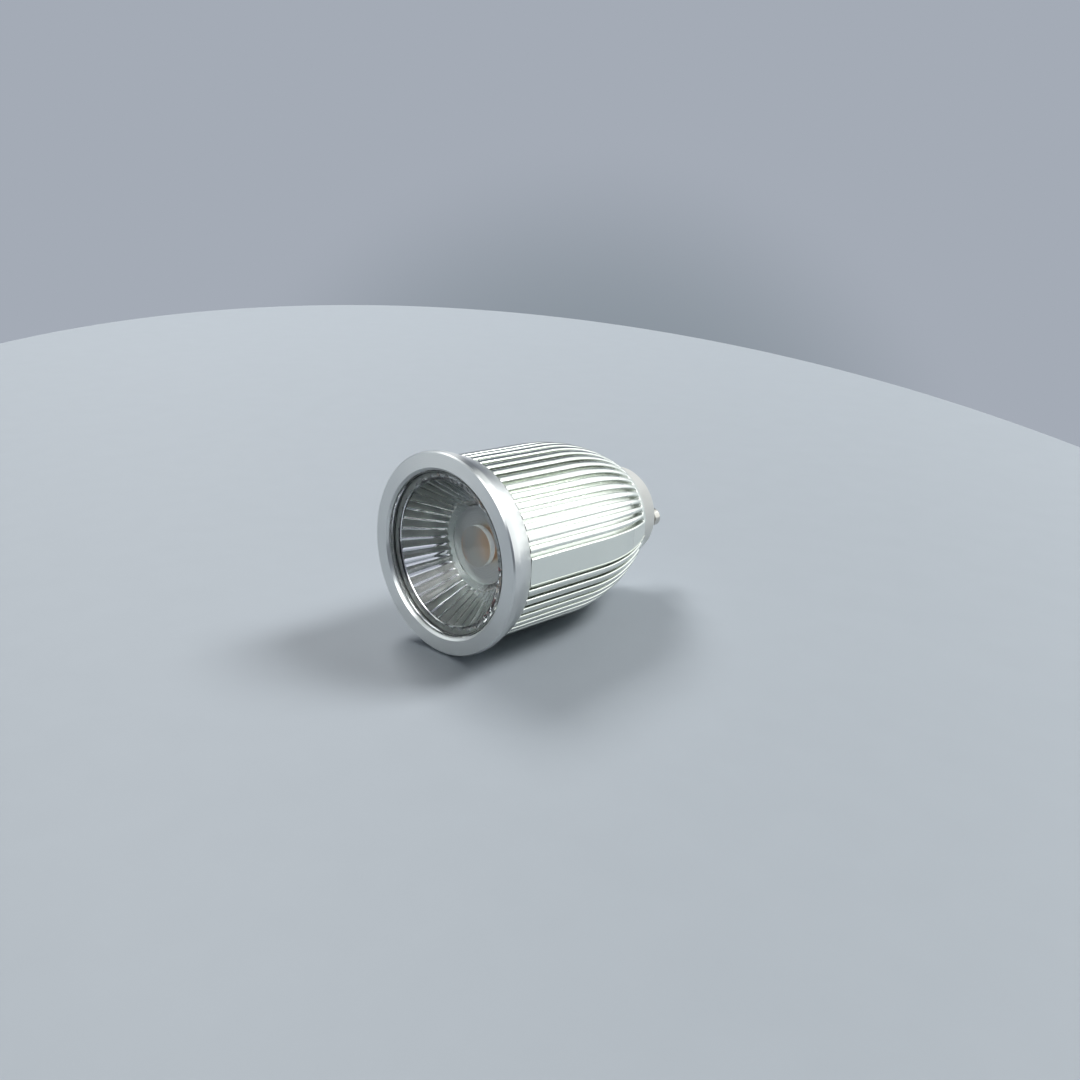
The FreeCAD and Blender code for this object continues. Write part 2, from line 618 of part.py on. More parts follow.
led_holder = new_body("led_holder")
turned(led_holder, [
    (f"{HOLDER_WINDOW} + holder_edge", HOLDER_FRONT),
    (HOLDER_RADIUS, HOLDER_FRONT),
    (HOLDER_RADIUS, PLATE_FRONT),
    (HOLDER_WINDOW, PLATE_FRONT),
    (HOLDER_WINDOW, f"{HOLDER_FRONT} + holder_edge"),
])
seat = section(led_holder, "holder_seat", COB_FRONT)
rectangle(seat, *[f"{side}({COB_SIDE} / 2 + close_gap)" for side in ("-", "", "-", "")])
cut(led_holder, seat, "pad_thickness + cob_thickness")
holder_holes = section(led_holder, "holder_holes", HOLDER_FRONT)
holder_sinks = section(led_holder, "holder_sinks", HOLDER_FRONT)
for side in ("", "-"):
    circle(holder_holes, f"{side}{HOLDER_SCREW_PLACE}", "0", "small_screw_radius + close_gap")
    circle(holder_sinks, f"{side}{HOLDER_SCREW_PLACE}", "0", HOLDER_SINK)
cut(led_holder, holder_holes, "holder_thickness")
cut(led_holder, holder_sinks, "small_head_sink")
for side, turn in (("right", "-lead_turn"), ("left", "180 + lead_turn")):
    for kind, start, depth in (
            ("channel", f"{HOLDER_WINDOW} - holder_notch", "channel_depth"),
            ("notch", f"{LEAD_PLACE} - holder_notch / 2", "holder_thickness")):
        sketch = section(led_holder, f"{kind}_{side}", HOLDER_FRONT, turn)
        rectangle(sketch, start, f"{HOLDER_RADIUS} + holder_notch", "-holder_notch / 2", "holder_notch / 2")
        cut(led_holder, sketch, depth)

# Screws, two of each kind in one node


def screw_pair(label, shank_radius, length, head_radius, head_height, seat_place, places):
    """Two slotted pan-head screws whose heads sit at the given place along the axis."""
    screw = new_body(f"{label}_one")
    turned(screw, [
        ("0", f"-{head_height}"),
        (f"{head_radius} - screw_edge", f"-{head_height}"),
        (head_radius, f"screw_edge - {head_height}"),
        (head_radius, "0"),
        (shank_radius, "0"),
        (shank_radius, f"{length} - screw_edge"),
        (f"{shank_radius} - screw_edge", length),
        ("0", length),
    ])
    slot = section(screw, f"{label}_slot", f"(-{head_height})")
    slot_half = f"({head_radius} + slot_width)"
    rectangle(slot, f"-{slot_half}", slot_half, "-slot_width / 2", "slot_width / 2")
    cut(screw, slot, "slot_depth")
    copies = []
    for x, z in places:
        copy = screw.Shape.copy()
        copy.translate(FreeCAD.Vector(number(x), number(seat_place), number(z)))
        copies.append(copy)
    return shaped(label, Part.makeCompound(copies))


holder_screws = screw_pair(
    "holder_screws", "small_screw_radius", "small_screw_length", "small_head_radius", "small_head_height",
    f"{HOLDER_FRONT} + small_head_sink",
    [(HOLDER_SCREW_PLACE, "0"), (f"-{HOLDER_SCREW_PLACE}", "0")])
plate_screws = screw_pair(
    "plate_screws", "large_screw_radius", "large_screw_length", "large_head_radius", "large_head_height",
    PLATE_FRONT,
    [("0", PLATE_SCREW_PLACE), ("0", f"-{PLATE_SCREW_PLACE}")])

# Housing of the driver, a white cup inside the heat sink with posts and rails

driver_housing = new_body("driver_housing")
turned(driver_housing, [
    (HOUSING_RADIUS, HOUSING_FRONT),
    (HOUSING_RADIUS, TAPER),
    (NECK_RADIUS, REAR_OPENING),
    (NECK_RADIUS, HOUSING_REAR),
    (f"{NECK_RADIUS} - housing_wall", HOUSING_REAR),
    (f"{NECK_RADIUS} - housing_wall", REAR_OPENING),
    (f"{HOUSING_RADIUS} - housing_wall", TAPER),
    (f"{HOUSING_RADIUS} - housing_wall", HOUSING_FRONT),
])
posts = section(driver_housing, "posts", HOUSING_FRONT)
post_holes = section(driver_housing, "post_holes", HOUSING_FRONT)
for side in ("", "-"):
    circle(posts, "0", f"{side}{PLATE_SCREW_PLACE}", "post_radius")
    circle(post_holes, "0", f"{side}{PLATE_SCREW_PLACE}", "large_screw_radius + close_gap")
pad(driver_housing, posts, "post_length")
cut(driver_housing, post_holes, "post_length")

RAIL_FRONT = f"({TAPER} - rail_length)"
RAIL_INNER = f"({BOARD_WIDTH} / 2 - rail_reach)"
rails = section(driver_housing, "rails", RAIL_FRONT)
for low, high in (
        (f"{BOARD_UNDER} - close_gap - rail_height", f"{BOARD_UNDER} - close_gap"),
        ("board_level + close_gap", "board_level + close_gap + rail_height")):
    outer = f"sqrt(({HOUSING_RADIUS} - housing_wall / 2)^2 - ({low})^2)"
    rectangle(rails, RAIL_INNER, outer, low, high)
    rectangle(rails, f"-{outer}", f"-{RAIL_INNER}", low, high)
pad(driver_housing, rails, "rail_length")

# Base: white collar and boss in one moulding, with a skirt that plugs into the housing

base_cap = new_body("base_cap")
turned(base_cap, [
    ("0", "0"),
    (f"{BOSS_RADIUS} - boss_round", "0", f"{BOSS_RADIUS} - boss_round", f"{NEAR}-boss_round"),
    (BOSS_RADIUS, "-boss_round"),
    (BOSS_RADIUS, COLLAR_REAR),
    ("collar_radius - collar_round", COLLAR_REAR,
     "collar_radius - collar_round", f"{NEAR}{COLLAR_REAR} - collar_round"),
    ("collar_radius", f"{COLLAR_REAR} - collar_round"),
    ("collar_radius", BODY_REAR),
    (SKIRT_RADIUS, BODY_REAR),
    (SKIRT_RADIUS, f"{BODY_REAR} - skirt_length"),
    (f"{SKIRT_RADIUS} - skirt_wall", f"{BODY_REAR} - skirt_length"),
    (f"{SKIRT_RADIUS} - skirt_wall", f"{COLLAR_REAR} - cap_wall"),
    (f"{BOSS_RADIUS} - boss_wall", f"{COLLAR_REAR} - cap_wall"),
    (f"{BOSS_RADIUS} - boss_wall", "-cap_wall"),
    ("0", "-cap_wall"),
])
PIN_X = "(pin_spacing / 2 * cos(pin_turn))"
PIN_Z = "(pin_spacing / 2 * sin(pin_turn))"
pin_holes = section(base_cap, "pin_holes", "(-cap_wall)")
circle(pin_holes, PIN_X, PIN_Z, "pin_tail_radius + close_gap")
circle(pin_holes, f"-{PIN_X}", f"-{PIN_Z}", "pin_tail_radius + close_gap")
cut(base_cap, pin_holes, "cap_wall")

# Contact pins: a head for the twist, a neck, and a tail riveted inside the base


def contact_pin(label, side):
    pin = new_body(label)
    flat_radius = "pin_head_radius - pin_edge"
    turned(pin, [
        ("0", "pin_length"),
        (flat_radius, "pin_length", flat_radius, f"{NEAR}pin_length - pin_edge"),
        ("pin_head_radius", "pin_length - pin_edge"),
        ("pin_head_radius", "pin_length - pin_head_length"),
        ("pin_neck_radius", "pin_length - pin_head_length"),
        ("pin_neck_radius", "0"),
        ("pin_tail_radius", "0"),
        ("pin_tail_radius", "-cap_wall"),
        ("rivet_radius", "-cap_wall"),
        ("rivet_radius", "-cap_wall - rivet_length / 2"),
        ("solder_radius", "-cap_wall - rivet_length"),
        ("solder_radius", "-cap_wall - rivet_length - solder_length"),
        ("0", "-cap_wall - rivet_length - solder_length"),
    ])
    pin.setExpression("Placement.Base.x", bound(f"{side}{PIN_X}"))
    pin.setExpression("Placement.Base.z", bound(f"{side}{PIN_Z}"))
    return pin


contact_pin_right = contact_pin("contact_pin_right", "")
contact_pin_left = contact_pin("contact_pin_left", "-")

# Driver board and the parts soldered to it

driver_board = block(
    "driver_board",
    (BOARD_WIDTH, "board_length", "board_thickness"),
    (f"-{BOARD_WIDTH} / 2", BOARD_FRONT, BOARD_UNDER))
WINDOW = "((core_width - 2 * core_limb - core_middle) / 2)"


def upright(body, place_x, place_y, level):
    """Stands a turned body on the board: its own axis Y becomes the board's upward Z."""
    body.Placement.Rotation = FreeCAD.Rotation(FreeCAD.Vector(1, 0, 0), 90)
    for axis, text in zip("xyz", (place_x, place_y, level)):
        body.setExpression(f"Placement.Base.{axis}", bound(text))
    return body


def capacitor(label, radius, length):
    """A can with sloped edges and a crimped groove near its foot."""
    can = new_body(label)
    turned(can, [
        ("0", "0"),
        (f"{radius} - can_edge", "0"),
        (radius, "can_edge"),
        (radius, "can_crimp - can_groove"),
        (f"{radius} - can_groove", "can_crimp"),
        (radius, "can_crimp + can_groove"),
        (radius, f"{length} - can_edge"),
        (f"{radius} - can_edge", length),
        ("0", length),
    ])
    return can


core_block = block(
    "core_block",
    ("core_width", "core_depth", "core_height"),
    (f"{CORE_OFFSET} - core_width / 2", f"{CORE_MIDDLE} - core_depth / 2", "board_level"))
core_windows = [
    block(
        f"core_window_{name}",
        (WINDOW, "core_depth", "core_height - 2 * core_limb"),
        (start, f"{CORE_MIDDLE} - core_depth / 2", "board_level + core_limb"))
    for name, start in (
        ("right", f"{CORE_OFFSET} + core_middle / 2"),
        ("left", f"{CORE_OFFSET} - core_middle / 2 - {WINDOW}"))
]
both_windows = doc.addObject("Part::MultiFuse", "both_windows")
both_windows.Shapes = core_windows
transformer_core = doc.addObject("Part::Cut", "transformer_core")
transformer_core.Base = core_block
transformer_core.Tool = both_windows

COIL_INNER = "(core_middle / 2 + close_gap)"
coil_block = block(
    "coil_block",
    (f"2 * ({COIL_INNER} + coil_wall)",
     "core_depth + 2 * coil_wall",
     "core_height - 2 * core_limb - 2 * close_gap"),
    (f"{CORE_OFFSET} - {COIL_INNER} - coil_wall",
     f"{CORE_MIDDLE} - core_depth / 2 - coil_wall",
     "board_level + core_limb + close_gap"))
coil_opening = block(
    "coil_opening",
    (f"2 * {COIL_INNER}", "core_depth + 2 * close_gap", "core_height"),
    (f"{CORE_OFFSET} - {COIL_INNER}", f"{CORE_MIDDLE} - core_depth / 2 - close_gap", "board_level"))
transformer_coil = doc.addObject("Part::Cut", "transformer_coil")
transformer_coil.Base = coil_block
transformer_coil.Tool = coil_opening

input_capacitor = capacitor("input_capacitor", "input_capacitor_radius", "input_capacitor_length")
for axis, text in zip("xyz", (
        f"-{SIDE_ROW}", f"{BOARD_FRONT} + input_capacitor_inset",
        "board_level + close_gap + input_capacitor_radius")):
    input_capacitor.setExpression(f"Placement.Base.{axis}", bound(text))
output_capacitor = upright(
    capacitor("output_capacitor", "output_capacitor_radius", "output_capacitor_height"),
    SIDE_ROW, f"{CORE_MIDDLE} - core_depth / 2 - row_gap - output_capacitor_radius", "board_level")
filter_inductor = new_body("filter_inductor")
turned(filter_inductor, [
    ("0", "0"),
    ("inductor_radius", "0"),
    ("inductor_radius", "inductor_flange"),
    ("inductor_waist", "inductor_flange"),
    ("inductor_waist", "inductor_height - inductor_flange"),
    ("inductor_radius", "inductor_height - inductor_flange"),
    ("inductor_radius", "inductor_height"),
    ("0", "inductor_height"),
])
upright(filter_inductor, SIDE_ROW, f"{CORE_MIDDLE} + core_depth / 2 + row_gap + inductor_radius", "board_level")

bridge_rectifier = block(
    "bridge_rectifier",
    ("rectifier_width", "rectifier_length", "rectifier_height"),
    ("under_row - rectifier_width / 2", f"{BOARD_FRONT} + rectifier_inset",
     f"{BOARD_UNDER} - rectifier_height"))
driver_chip = block(
    "driver_chip",
    ("chip_width", "chip_length", "chip_height"),
    ("-chip_width / 2", f"{BOARD_FRONT} + chip_inset", f"{BOARD_UNDER} - chip_height"))
fuse_resistor = doc.addObject("Part::Cylinder", "fuse_resistor")
fuse_resistor.Placement.Rotation = FreeCAD.Rotation(FreeCAD.Vector(0, 1, 0), 90)
fuse_resistor.setExpression("Radius", bound("resistor_radius"))
fuse_resistor.setExpression("Height", bound("resistor_length"))
for axis, text in zip("xyz", (
        "-under_row - resistor_length / 2", f"{BOARD_FRONT} + resistor_inset",
        f"{BOARD_UNDER} - close_gap - resistor_radius")):
    fuse_resistor.setExpression(f"Placement.Base.{axis}", bound(text))
doc.recompute()

# Insulated leads: straight runs joined by tangent arcs

SHARE_OF_RUN = 0.45
TUBE_TOLERANCE = 0.01


def lead(label, route):
    """A round lead along a route of points, each bend as large as its two runs allow."""
    points = [FreeCAD.Vector(*(number(text) for text in point)) for point in route]
    radius = number("lead_radius")
    edges = []
    start = points[0]
    for before, corner, after in zip(points, points[1:], points[2:]):
        into = (corner - before).normalize()
        out = (after - corner).normalize()
        reach = SHARE_OF_RUN * min((corner - before).Length, (after - corner).Length)
        first, last = corner - into * reach, corner + out * reach
        bend_radius = reach / math.tan(into.getAngle(out) / 2)
        inward = (out - into).normalize()
        middle = corner + inward * (math.hypot(bend_radius, reach) - bend_radius)
        edges.append(Part.LineSegment(start, first).toShape())
        edges.append(Part.Arc(first, middle, last).toShape())
        start = last
    edges.append(Part.LineSegment(start, points[-1]).toShape())
    path = Part.Wire(edges)
    end_ring = Part.Wire(Part.makeCircle(radius, points[0], points[1] - points[0]))
    tube = path.makePipeShell([end_ring], True, True)
    if abs(tube.Volume / (math.pi * radius**2 * path.Length) - 1) > TUBE_TOLERANCE:
        raise RuntimeError(f"{label} isn't a plain tube")
    return shaped(label, tube)


LEAD_LEVEL = f"({COB_FRONT} - lead_radius - close_gap)"


def light_lead(label, side):
    """From the light source's base, out through its holder, and back through the plate to the board."""
    return lead(label, [
        (f"{side}{LEAD_START} * cos(lead_turn)", LEAD_LEVEL, f"-{LEAD_START} * sin(lead_turn)"),
        (f"{side}{LEAD_X}", LEAD_LEVEL, f"-{LEAD_DOWN}"),
        (f"{side}{LEAD_X}", f"{BOARD_FRONT} + lead_overlap", f"-{LEAD_DOWN}"),
    ])


led_lead_red = light_lead("led_lead_red", "")
led_lead_black = light_lead("led_lead_black", "-")

PIN_TAIL_END = "(-cap_wall - rivet_length - solder_length)"


def mains_lead(label, side):
    """From a pin's solder post, down to the rear edge of the board."""
    x, z, level = f"{side}{PIN_X}", f"{side}{PIN_Z}", "board_level + lead_radius + close_gap"
    return lead(label, [
        (x, PIN_TAIL_END, z),
        (x, f"{PIN_TAIL_END} - lead_straight", z),
        (x, f"{TAPER} + lead_landing", level),
        (x, f"{TAPER} - lead_overlap", level),
    ])


mains_lead_right = mains_lead("mains_lead_right", "")
mains_lead_left = mains_lead("mains_lead_left", "-")

doc.recompute()


def check(pieces):
    """Stops before anything is written if a step failed or a piece is empty or broken."""
    for item in doc.Objects:
        if {"Invalid", "Error"} & set(item.State):
            raise RuntimeError(f"{item.Name} failed: {item.State}")
    for piece in pieces:
        if piece.Shape.isNull() or not piece.Shape.isValid():
            raise RuntimeError(f"{piece.Label} is empty or not valid")


PIECES = [
    front_ring, lens, heat_sink,
    led_plate, thermal_pad, led_base, led_dam, phosphor, led_holder, holder_screws, plate_screws,
    driver_housing, base_cap, contact_pin_right, contact_pin_left,
    driver_board, transformer_core, transformer_coil, input_capacitor, output_capacitor, filter_inductor,
    bridge_rectifier, driver_chip, fuse_resistor,
    led_lead_red, led_lead_black, mains_lead_right, mains_lead_left,
]
check(PIECES)
os.makedirs("parts", exist_ok=True)
for piece in PIECES:
    piece.Shape.exportStep(f"parts/{piece.Label}.step")
    print(piece.Label, round(piece.Shape.Volume), piece.Shape.BoundBox)
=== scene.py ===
import math

import bmesh
import bpy
from mathutils import Matrix, Vector


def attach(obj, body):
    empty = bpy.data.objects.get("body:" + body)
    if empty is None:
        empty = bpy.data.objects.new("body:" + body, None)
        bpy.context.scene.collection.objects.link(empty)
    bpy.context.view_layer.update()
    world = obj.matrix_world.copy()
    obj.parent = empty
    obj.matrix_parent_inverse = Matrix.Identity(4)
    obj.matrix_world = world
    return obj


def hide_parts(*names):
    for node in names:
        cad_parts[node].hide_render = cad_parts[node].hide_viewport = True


# A finned spotlight bulb lying on its side. Lengths are in millimetres until a mesh is finished,
# which brings it to metres. Y is the lamp's axis, with the light toward -Y, and Z is up.

MM = 0.001
# Points nearer together than this are made one, and a point this near to a stated place is at it
MERGED = 1e-4
STRIPS_MERGED = 1e-3
AT_PLACE = 0.01

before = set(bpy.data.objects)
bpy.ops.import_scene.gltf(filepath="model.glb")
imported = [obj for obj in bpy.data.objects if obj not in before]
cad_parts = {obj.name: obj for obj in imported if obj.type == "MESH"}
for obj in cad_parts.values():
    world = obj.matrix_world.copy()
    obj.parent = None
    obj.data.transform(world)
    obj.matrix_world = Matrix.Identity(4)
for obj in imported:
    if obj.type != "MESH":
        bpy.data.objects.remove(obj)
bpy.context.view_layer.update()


# Shapes


def turned(outline, steps, closed=False):
    """A turned piece: a line of points, as radius and place along the axis, spun once round the axis."""
    mesh = bmesh.new()
    corners = [mesh.verts.new((radius, along, 0)) for radius, along in outline]
    onward = corners[1:] + corners[:1] if closed else corners[1:]
    for start, end in zip(corners, onward):
        mesh.edges.new((start, end))
    bmesh.ops.spin(
        mesh, geom=mesh.verts[:] + mesh.edges[:], axis=(0, 1, 0), cent=(0, 0, 0), dvec=(0, 0, 0),
        angle=2 * math.pi, steps=steps, use_merge=True, use_duplicate=False)
    bmesh.ops.remove_doubles(mesh, verts=mesh.verts[:], dist=MERGED)
    bmesh.ops.recalc_face_normals(mesh, faces=mesh.faces[:])
    return mesh


def round_rims(mesh, rims, width, segments):
    """Rounds the circular edges that lie at the given radius and place along the axis."""
    def on_rim(vert):
        radius = math.hypot(vert.co.x, vert.co.z)
        return any(math.hypot(radius - r, vert.co.y - y) < AT_PLACE for r, y in rims)
    edges = [edge for edge in mesh.edges if all(on_rim(vert) for vert in edge.verts)]
    bmesh.ops.bevel(
        mesh, geom=edges, offset=width, offset_type="OFFSET", segments=segments, profile=0.5,
        affect="EDGES", clamp_overlap=True, material=-1)


def add_piece(name, mesh, material, nodes, sharp=35):
    """Ends a piece: metres, smooth faces but for edges sharper than an angle, its finish and its body."""
    bmesh.ops.scale(mesh, vec=(MM, MM, MM), verts=mesh.verts[:])
    for face in mesh.faces:
        face.smooth = True
    for edge in mesh.edges:
        if len(edge.link_faces) == 2 and edge.calc_face_angle() > math.radians(sharp):
            edge.smooth = False
    data = bpy.data.meshes.new(name)
    mesh.to_mesh(data)
    mesh.free()
    data.materials.append(material)
    piece = bpy.data.objects.new(name, data)
    bpy.context.scene.collection.objects.link(piece)
    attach(piece, "root")
    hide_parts(*nodes)


# Finishes


def colour(code):
    """The linear colour of a hex code that is written in sRGB."""
    levels = [int(code[start:start + 2], 16) / 255 for start in (1, 3, 5)]
    linear = [level / 12.92 if level < 0.04045 else ((level + 0.055) / 1.055) ** 2.4 for level in levels]
    return linear + [1]


def add_node(tree, kind, inputs, feeds=None, **settings):
    """Adds a node. An input is a plain value or another node's output. It may feed a given socket."""
    made = tree.nodes.new(kind)
    for name, value in settings.items():
        setattr(made, name, value)
    in_use = {socket.name: socket for socket in reversed(made.inputs) if socket.enabled}
    for name, value in inputs.items():
        socket = made.inputs[name] if isinstance(name, int) else in_use[name]
        if isinstance(value, bpy.types.NodeSocket):
            tree.links.new(value, socket)
        else:
            socket.default_value = value
    result = next(socket for socket in made.outputs if socket.enabled)
    if feeds:
        tree.links.new(result, feeds)
    return result


def new_finish(name, code, metallic, roughness, **sockets):
    """A material whose plain values sit on the shader's own sockets. Returns it with its tree and sockets."""
    material = bpy.data.materials.new(name)
    material.use_nodes = True
    tree = material.node_tree
    shader = tree.nodes["Principled BSDF"].inputs
    values = {"Base Color": colour(code), "Metallic": metallic, "Roughness": roughness}
    values.update({socket.replace("_", " "): value for socket, value in sockets.items()})
    for socket, value in values.items():
        shader[socket].default_value = value
    return material, tree, shader


def places(tree, stretch=(1, 1, 1)):
    """The piece's own coordinates, in metres, stretched along its axes."""
    here = tree.nodes.new("ShaderNodeTexCoord").outputs["Object"]
    return add_node(tree, "ShaderNodeMapping", {"Vector": here, "Scale": stretch})


def within(tree, radius, edge):
    """1 nearer to the lamp's axis than a radius and 0 beyond it, over a narrow edge, both in millimetres."""
    away = add_node(tree, "ShaderNodeVectorMath", {0: places(tree, (1, 0, 1))}, operation="LENGTH")
    return add_node(
        tree, "ShaderNodeMapRange",
        {"Value": away, "From Min": (radius + edge) * MM, "From Max": (radius - edge) * MM})


def turned_aluminium():
    """Bar aluminium, faced and turned on a lathe: bright, with fine rings that the tool left."""
    material, tree, shader = new_finish(
        "turned_aluminium", "#D9DBDA", 1.0, 0.2, Anisotropic=0.8, Anisotropic_Rotation=0.25)
    # The tool's feed is about 0.1 mm a turn; rings 0.5 mm apart are the finest that the render shows.
    # The wave texture has one ring in 2 pi / 20 of its own length.
    ring_gap = 0.5 * MM
    rings = add_node(
        tree, "ShaderNodeTexWave", {"Vector": places(tree), "Scale": 2 * math.pi / (20 * ring_gap)},
        wave_type="RINGS", rings_direction="Y")
    add_node(
        tree, "ShaderNodeBump", {"Height": rings, "Distance": 0.01 * MM, "Strength": 0.8}, shader["Normal"])
    # The gloss drifts over smears about 11 mm wide. The wall of the opening was bored, and is duller than
    # the faced front.
    smears = add_node(
        tree, "ShaderNodeTexNoise", {"Vector": places(tree), "Scale": 1 / (11.1 * MM), "Detail": 4.0})
    opening = within(tree, 20.65, 0.05)
    dullness = {
        name: add_node(tree, "ShaderNodeMix", {"Factor": opening, "A": faced, "B": bored})
        for name, faced, bored in (("To Min", 0.26, 0.4), ("To Max", 0.34, 0.55))}
    add_node(tree, "ShaderNodeMapRange", {"Value": smears, **dullness}, shader["Roughness"])
    # Light is drawn out across the rings
    add_node(tree, "ShaderNodeTangent", {}, shader["Tangent"], direction_type="RADIAL", axis="Y")
    return material


def finned_aluminium():
    """Extruded and turned aluminium with a thin clear anodised coat: bright and silky, drawn lengthwise."""
    material, tree, shader = new_finish("finned_aluminium", "#E3E7E1", 1.0, 0.2)
    # Die lines run along the fins, about 0.3 mm apart
    lines = add_node(
        tree, "ShaderNodeTexNoise",
        {"Vector": places(tree, (1, 0.04, 1)), "Scale": 1 / (0.3 * MM), "Detail": 3.0})
    # The cone behind the lens is left as it was bored, duller than the outside
    bore = within(tree, 20.5, 0.1)
    dullness = {
        name: add_node(tree, "ShaderNodeMix", {"Factor": bore, "A": outside, "B": inside})
        for name, outside, inside in (("To Min", 0.13, 0.3), ("To Max", 0.27, 0.4))}
    add_node(tree, "ShaderNodeMapRange", {"Value": lines, **dullness}, shader["Roughness"])
    add_node(
        tree, "ShaderNodeBump", {"Height": lines, "Distance": 0.006 * MM, "Strength": 0.5}, shader["Normal"])
    return material


def clear_acrylic():
    """Injection-moulded acrylic: water clear, with polished faces and a misty middle."""
    material, tree, shader = new_finish(
        "clear_acrylic", "#FBFDFD", 0.0, 0.0, IOR=1.49, Transmission_Weight=1.0)
    # The melt leaves soft waves about 4 mm wide, which bend what is seen through it
    flow = add_node(
        tree, "ShaderNodeTexNoise", {"Vector": places(tree), "Scale": 1 / (4.17 * MM), "Detail": 2.0})
    add_node(
        tree, "ShaderNodeBump", {"Height": flow, "Distance": 0.01 * MM, "Strength": 0.4}, shader["Normal"])
    # The floor of the bowl and the pocket behind it are finely etched, and hide what lies under them
    etched = within(tree, 9.8, 0.1)
    add_node(
        tree, "ShaderNodeMapRange", {"Value": etched, "To Min": 0.0, "To Max": 0.32}, shader["Roughness"])
    return material


def white_plastic(name="moulded_white_plastic", code="#ECEDE8"):
    """Moulded polyester plastic: off-white, with a spark-eroded grain of 0.25 mm and a soft sheen."""
    material, tree, shader = new_finish(name, code, 0.0, 0.42, IOR=1.54)
    grain = add_node(
        tree, "ShaderNodeTexNoise", {"Vector": places(tree), "Scale": 1 / (0.25 * MM), "Detail": 3.0})
    add_node(
        tree, "ShaderNodeBump", {"Height": grain, "Distance": 0.01 * MM, "Strength": 0.5}, shader["Normal"])
    add_node(
        tree, "ShaderNodeMapRange", {"Value": grain, "To Min": 0.36, "To Max": 0.5}, shader["Roughness"])
    return material


def plated_brass():
    """Brass turned on an automatic lathe and nickel plated: warm grey, mirror-like between fine rings."""
    material, tree, shader = new_finish("plated_brass", "#BDBBB5", 1.0, 0.22)
    # The rings are drawn about 0.2 mm apart along the pin, coarser than they are, to show at all
    rings = add_node(
        tree, "ShaderNodeTexNoise",
        {"Vector": places(tree, (1, 6, 1)), "Scale": 1 / (1.11 * MM), "Detail": 3.0})
    add_node(
        tree, "ShaderNodeMapRange", {"Value": rings, "To Min": 0.16, "To Max": 0.34}, shader["Roughness"])
    add_node(
        tree, "ShaderNodeBump", {"Height": rings, "Distance": 0.006 * MM, "Strength": 0.4}, shader["Normal"])
    return material


def mottled(name, code, other, metallic, roughness, size, height=0.01):
    """A finish whose colour drifts between two codes, over spots of a size and height in millimetres."""
    material, tree, shader = new_finish(name, code, metallic, roughness)
    drift = add_node(
        tree, "ShaderNodeTexNoise", {"Vector": places(tree), "Scale": 1 / (size * MM), "Detail": 4.0})
    add_node(
        tree, "ShaderNodeMix", {"Factor": drift, "A": colour(code), "B": colour(other)}, shader["Base Color"],
        data_type="RGBA")
    add_node(
        tree, "ShaderNodeBump", {"Height": drift, "Distance": height * MM, "Strength": 0.5}, shader["Normal"])
    return material


# Sizes of the finned body: its outside, the grooves between the fins, and the two smooth panels

FIN_RADIUS = 23.1
FIN_FRONT = -62.9
SHOULDER = -37.9
SHOULDER_ARC = 50.79
BODY_REAR = -12.0
GROOVE_HALF = 0.45
GROOVE_DEPTH = 1.9
GROOVE_REAR = -14.4
FIN_EDGE = 0.34
FIN_CROWN = 0.08
GROOVES = 25
PANEL_ANGLE = math.radians(20)
PITCH = (math.pi - PANEL_ANGLE) / (GROOVES - 1)
PANEL_HALF = 3.2
PANEL_DEPTH = 0.2
PANEL_LINE = 0.3
PANEL_EDGE = 0.1

# Where a section is set along the body: on its straight part, down the shoulder, over the rounded
# ends of the grooves, in degrees, and on the plain strip behind them
STRAIGHT_PART = [FIN_FRONT, -55, -46]
SHOULDER_STEPS = 14
GROOVE_END_TURNS = (25, 50, 70, 90)
PLAIN_STRIP = (GROOVE_REAR + 0.8, BODY_REAR)

# From the front of the fins inwards: the stop for the ring, the spigot that it screws on, the cone
# behind the lens and the plate's seat
FRONT_STEPS = (
    (21.0, -62.9), (21.0, -63.3), (21.8, -63.3), (21.8, -67.5), (20.1, -67.5), (17.9, -51.0), (18.2, -51.0),
    (18.2, -48.0))
# From the rear face inwards: the opening for the base and the hollow up to the plate's seat
REAR_STEPS = ((10.32, -12.0), (10.32, -14.5), (17.0, -23.9), (17.0, -48.0))


def envelope(along):
    """Radius and outward slope of the body's outside at a place along the axis."""
    past = max(0.0, along - SHOULDER)
    return FIN_RADIUS - SHOULDER_ARC + math.sqrt(SHOULDER_ARC**2 - past**2), math.asin(past / SHOULDER_ARC)


def on_body(along, angle, across, depth):
    """A point at a depth under the body's outside, beside the line at an angle round the axis."""
    radius, slope = envelope(along)
    out = radius - depth * math.cos(slope)
    return Vector((
        out * math.cos(angle) - across * math.sin(angle),
        along - depth * math.sin(slope),
        out * math.sin(angle) + across * math.cos(angle)))


def lip(half, edge):
    """Half a groove, from the middle of its floor up over its rounded lip, as offset and depth."""
    turn = [math.radians(angle) for angle in (0, 30, 60, 90)]
    return [(0, GROOVE_DEPTH), (half, GROOVE_DEPTH)] + [
        (half + edge * (1 - math.cos(a)), edge * (1 - math.sin(a))) for a in turn]


def fin_row(along, half, edge):
    """One fin's section, from the middle of one groove to the middle of the next."""
    radius = envelope(along)[0]
    start = -PITCH / 2
    crown = FIN_CROWN * edge / FIN_EDGE
    left = [on_body(along, start, offset, depth + crown) for offset, depth in lip(half, edge)]
    rim = start + (half + edge) / radius
    crest = [
        on_body(along, rim * share, 0, FIN_CROWN * share**2 * edge / FIN_EDGE)
        for share in (0.75, 0.5, 0.25, 0, -0.25, -0.5, -0.75)]
    return left, crest


